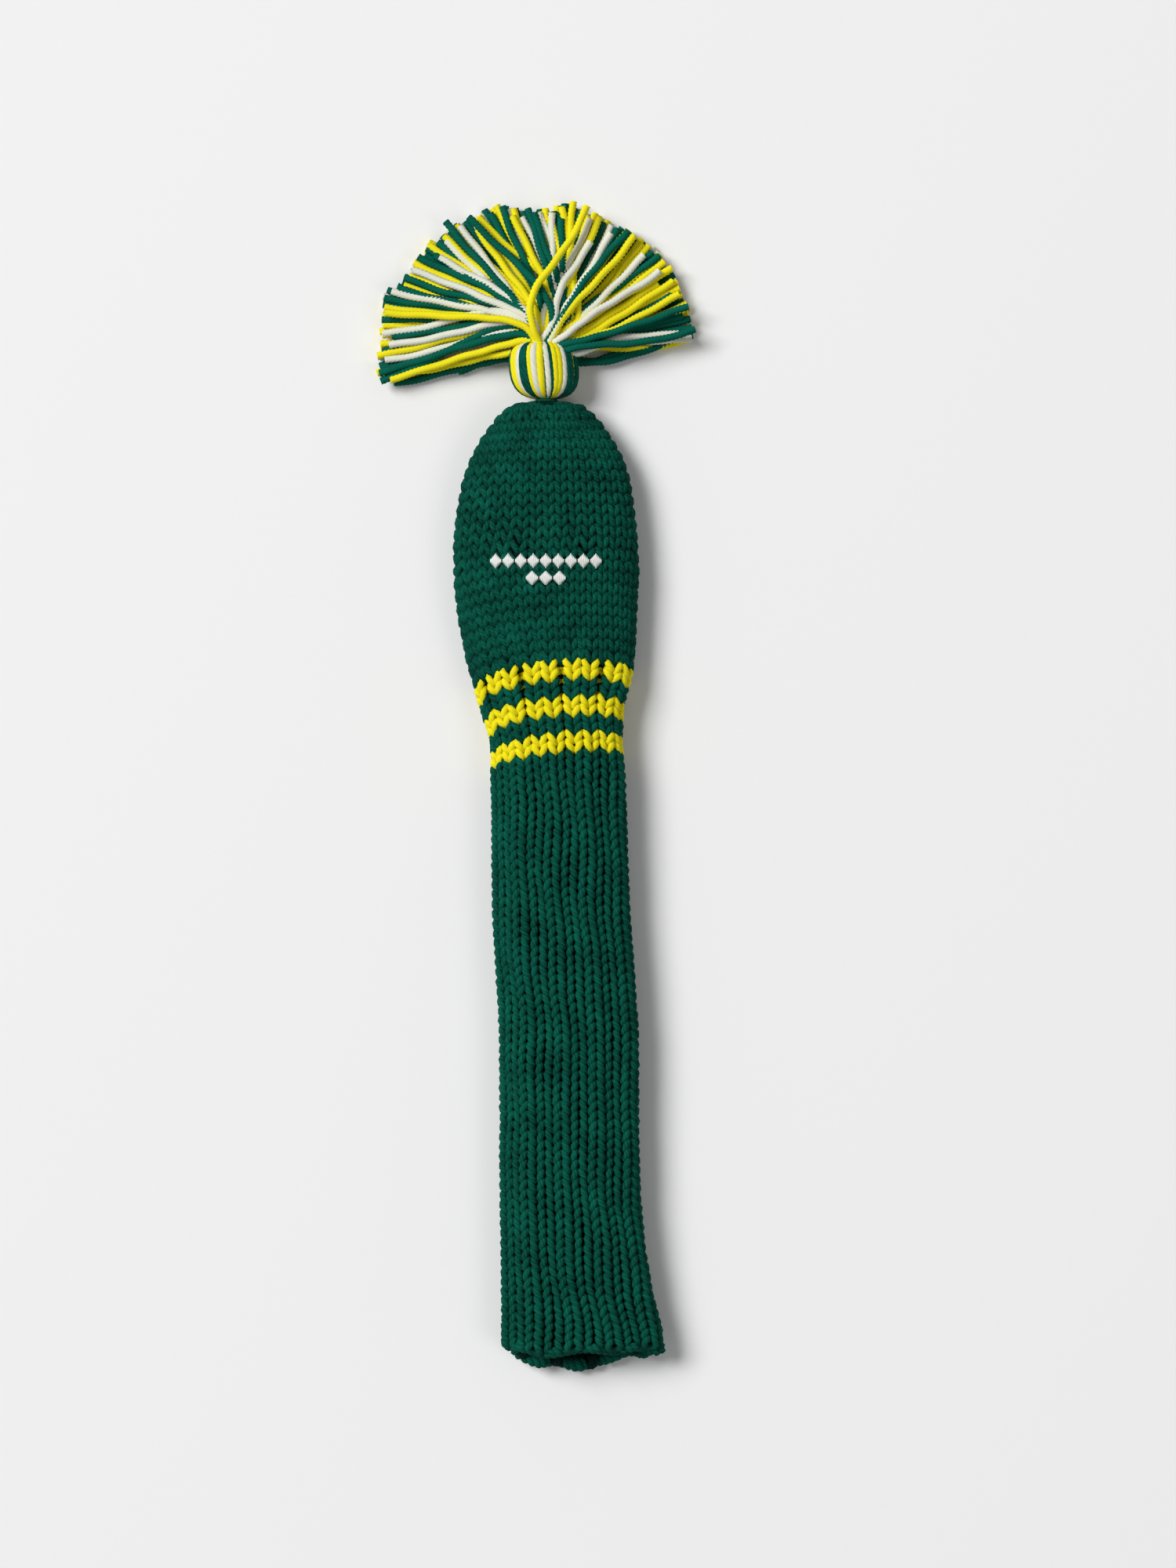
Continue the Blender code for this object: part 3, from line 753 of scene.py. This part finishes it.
def make_fan():
    layers = {"top": [], "middle": [], "bottom": []}
    for number, (wool_key, degrees, reach, bow) in enumerate(TOP_STRANDS):
        over = (degrees, reach) in LONG_ON_TOP
        height = (10.5 if over else 6.6 + 1.4 * math.sin(number * 2.4)) * MM
        root = (4.3 if over else 3.4) * MM
        if (degrees, reach) == CROSSING:
            height, root = 13.5 * MM, 5.5 * MM
        layers["top"].append((wool_key, degrees, reach, bow, height, root))
    for name, count, height, root in (("middle", 56, 4.4, 0.0), ("bottom", 54, 1.65, -3.4)):
        for number in range(count):
            degrees = 3 + 189 * (number + 0.5 * RANDOM.random()) / count
            reach = trimmed(degrees) * (0.96 + 0.05 * RANDOM.random()) - 0.5
            bow = np.interp(degrees, [-9, 60, 80, 120, 195], [-5, 0, -5, -4, -6]) + RANDOM.normal(0, 1.2)
            wool_key = "GYWGYGWYGY"[int(RANDOM.integers(10))]
            high = (height + 0.7 * RANDOM.random()) * MM
            layers[name].append((wool_key, degrees, reach, bow, high, root * MM))
    # The outermost strands underneath leave the tie low, beside the ball.
    for degrees, reach, bow in ((193, 63, 3.5), (195, 36, 3), (4.5, 62, -10), (1, 42, -8)):
        layers["bottom"].append(("G", degrees, reach, bow, 2.2 * MM, -3.0 * MM))
    for layer, strands in layers.items():
        for wool_key, wool_material in WOOLS.items():
            paths = []
            for strand in strands:
                if strand[0] == wool_key:
                    path, thick = fan_strand(*strand[1:], jitter=RANDOM.normal(0, 0.6))
                    paths.append(even_steps(path, PATH_STEP, thick, np.full(len(path), OPEN_STRAND_PAINTED_LIGHT)))
            name = f"fan_{layer}_{WORDS[wool_key]}"
            piece = yarn_piece(name, paths, wool_material, STRAND_RADIUS, 0.2)
            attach(piece, "tassel")
            side = "skirt_back" if layer == "bottom" else "skirt_front"
            half = [n for n in frame["nodes"] if n.startswith(side) and n.endswith(WORDS[wool_key])]
            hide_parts(*half)


def tassel_x(y):
    """The middle of the leaning tassel at this height."""
    return PIVOT.x + BALL_LEAN * (y - PIVOT.y)


def ball_strand(degrees, lift, twist):
    """A strand of the tassel's head: from the cord under it, round the ball and into the tie. Its
    outline is a rounded box, a little squarer at the bottom."""
    t = np.linspace(0.02, 0.985, 44) * math.pi
    turn = math.radians(degrees) + twist * np.cos(t)
    full = np.where(t < math.pi / 2, 2 / 2.45, 2 / 2.6)
    along = -np.sign(np.cos(t)) * np.abs(np.cos(t)) ** full
    around = np.sin(t) ** full
    tight = np.interp(t, [0, 0.5, 2.5, math.pi], [0.75, 1.0, 1.0, 0.8])
    narrow = 1.6 * MM * np.cos(t / 2) ** 8 + 3.6 * MM * np.sin(t / 2) ** 8
    y = BALL_MIDDLE + along * (BALL_HALF.y - STRAND_RADIUS * 0.6)
    wide = around * (BALL_HALF.x - STRAND_RADIUS + lift) + narrow
    deep = around * (BALL_HALF.z - STRAND_RADIUS + lift) + narrow
    x = tassel_x(y) + wide * np.sin(turn)
    z = PIVOT.z + deep * np.cos(turn)
    return np.column_stack([x, y, z]), tight


def make_ball():
    strands = [(wool_key, degrees) for wool_key, degrees in BALL_FRONT]
    step = 180 / len(BALL_BACK)
    strands += [(wool_key, 90 + (number + 0.7) * step) for number, wool_key in enumerate(BALL_BACK)]
    for wool_key, wool_material in WOOLS.items():
        paths = []
        for number, (key, degrees) in enumerate(strands):
            if key == wool_key:
                twist = 0.03 * math.sin(number * 1.3)
                path, thick = ball_strand(degrees, SUNK.get(degrees, 0.1) * MM, twist)
                paths.append(even_steps(path, PATH_STEP, thick * 0.82))
        # Pulled tight, the plies nearly vanish.
        name = f"ball_{WORDS[wool_key]}_strands"
        piece = yarn_piece(name, paths, wool_material, STRAND_RADIUS, 0.04, 2 * TWIST_PITCH)
        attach(piece, "tassel")
        gores = [n for n in frame["nodes"] if n.startswith("tassel_head") and n.endswith(WORDS[wool_key])]
        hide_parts(*gores)


def make_tie_and_core():
    turns = np.linspace(0, 3.4 * 2 * math.pi, 160)
    y = np.interp(turns, [0, turns[-1]], [177.3 * MM, 180.4 * MM])
    radius = 5.0 * MM + 0.5 * MM * np.sin(turns * 0.37)
    wrap = np.column_stack([tassel_x(y) + radius * np.sin(turns), y, PIVOT.z + radius * np.cos(turns)])
    path = even_steps(wrap, PATH_STEP, np.full(len(turns), 0.8))
    tie = yarn_piece("neck_wraps", [path], GREEN_WOOL, STRAND_RADIUS)
    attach(tie, "tassel")
    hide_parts("neck_tie")

    low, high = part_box("tassel_core")
    paths = []
    for number in range(7):
        turn = number * 2 * math.pi / 6
        reach = 0.0 if number == 6 else 2.7 * MM
        y = np.linspace(low.y, high.y, 24)
        swell = np.sin(math.pi * np.linspace(0.12, 0.88, 24))
        x = tassel_x(y) + reach * swell * math.sin(turn)
        z = PIVOT.z + reach * swell * math.cos(turn)
        paths.append(even_steps(np.column_stack([x, y, z]), PATH_STEP, np.full(24, 0.95)))
    core = yarn_piece("inner_strands", paths, WHITE_WOOL, STRAND_RADIUS)
    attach(core, "tassel")
    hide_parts("tassel_core")


def make_anchor():
    low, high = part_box("anchor_cord")
    y = np.linspace(low.y, high.y, 16)
    path = np.column_stack([np.full(16, PIVOT.x), y, np.full(16, PIVOT.z)])
    path = even_steps(path, PATH_STEP, np.full(16, 0.8))
    cord = yarn_piece("anchor_yarn", [path], GREEN_WOOL, STRAND_RADIUS)
    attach(cord, "tassel_link")
    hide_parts("anchor_cord")

    # An overhand knot pulled up against the inside of the crown.
    low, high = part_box("anchor_knot")
    middle = (low + high) / 2
    size = (high - low) / 2 - Vector((1, 1, 1)) * 1.2 * MM
    t = np.linspace(0, 2 * math.pi, 80)
    x = middle.x + size.x * (np.sin(t) + 2 * np.sin(2 * t)) / 3
    z = middle.z + size.z * (np.cos(t) - 2 * np.cos(2 * t)) / 3
    y = middle.y - size.y * np.sin(3 * t)
    path = even_steps(np.column_stack([x, y, z]), PATH_STEP, np.full(80, 0.75))
    knot = yarn_piece("anchor_yarn_knot", [path], GREEN_WOOL, STRAND_RADIUS)
    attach(knot, "head")
    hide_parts("anchor_knot")

    low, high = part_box("crown_gather_thread")
    middle = (low + high) / 2
    radius = (high.x - low.x) / 2 - 0.8 * MM
    t = np.linspace(0, 2 * math.pi, 60)
    x = middle.x + radius * np.cos(t)
    z = middle.z + radius * np.sin(t)
    path = even_steps(np.column_stack([x, np.full(60, middle.y), z]), PATH_STEP, np.full(60, 0.6))
    thread = yarn_piece("gather_yarn", [path], GREEN_WOOL)
    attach(thread, "head")
    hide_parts("crown_gather_thread")


# ---------------------------------------------------------------- the embroidery
THREAD_RADIUS = 0.34 * MM


def satin_lozenge(x, y, half_width, half_height):
    """Upright satin stitches side by side that fill a lozenge."""
    paths = []
    count = int(round(2 * half_width / (1.4 * THREAD_RADIUS)))
    for number in range(count):
        aside = (number + 0.5) / count * 2 - 1
        tall = half_height * (1 - abs(aside)) + 0.35 * MM
        u = np.linspace(-1, 1, 9)
        px = x + aside * half_width + 0 * u
        py = y + tall * u
        lift = 1.2 * MM * (1 - u**4) - 0.4 * MM
        path = np.column_stack([px, py, TUBE.top(px, py) + lift])
        paths.append((path, np.ones(9)))
    return paths


def make_embroidery():
    for name, count in (("embroidery_long_row", 9), ("embroidery_short_row", 3)):
        low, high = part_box(name)
        step = (high.x - low.x) / count
        paths = []
        for number in range(count):
            x = low.x + (number + 0.5) * step
            paths += satin_lozenge(x, (low.y + high.y) / 2, 0.44 * step, (high.y - low.y) / 2)
        row = yarn_piece(name + "_stitches", paths, WHITE_THREAD, THREAD_RADIUS, 0.05, 20 * MM, 6)
        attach(row, "head")
        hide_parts(name)


# ---------------------------------------------------------------- the stage
def make_stage():
    bpy.ops.mesh.primitive_plane_add(size=60.0, location=(0, 0, 0))
    floor = bpy.context.object
    floor.name = "floor"
    paper = bpy.data.materials.new("pale_paper")
    paper.use_nodes = True
    shader = paper.node_tree.nodes["Principled BSDF"]
    shader.inputs["Base Color"].default_value = linear("#f4f4f4")
    shader.inputs["Roughness"].default_value = 0.9
    floor.data.materials.append(paper)

    world = bpy.data.worlds.new("studio")
    world.use_nodes = True
    world.node_tree.nodes["Background"].inputs["Color"].default_value = (1, 1, 1, 1)
    world.node_tree.nodes["Background"].inputs["Strength"].default_value = 0.22
    bpy.context.scene.world = world
    # The wool's strong yellow and deep green are shown as they are, without a film curve.
    bpy.context.scene.view_settings.view_transform = "Standard"
    for name, place, size, power in (
        ("overhead_softbox", (-6.4, 3.6, 8.0), 4.8, 1110.0),
        ("side_softbox", (4.0, -2.0, 5.6), 3.0, 48.0),
    ):
        lamp = bpy.data.lights.new(name, "AREA")
        lamp.size = size
        lamp.energy = power
        holder = bpy.data.objects.new(name, lamp)
        bpy.context.scene.collection.objects.link(holder)
        holder.location = place
        holder.rotation_euler = (Vector((0, 0, 0)) - Vector(place)).to_track_quat("-Z", "Y").to_euler()


def make_camera():
    """Straight down on the cover, which lies a little left of the middle of the view."""
    height = 2.2
    view_height = 0.643
    lens = bpy.data.cameras.new("camera")
    lens.sensor_fit = "VERTICAL"
    lens.sensor_height = 24.0
    lens.lens = 24.0 * (height - PIVOT.z) / view_height
    camera = bpy.data.objects.new("camera", lens)
    camera.location = (0.0217, 0.0, height)
    bpy.context.scene.collection.objects.link(camera)
    bpy.context.scene.camera = camera


make_camera()
make_stage()
make_sleeve()
make_bands()
make_head()
make_cuff()
make_fan()
make_ball()
make_tie_and_core()
make_anchor()
make_embroidery()
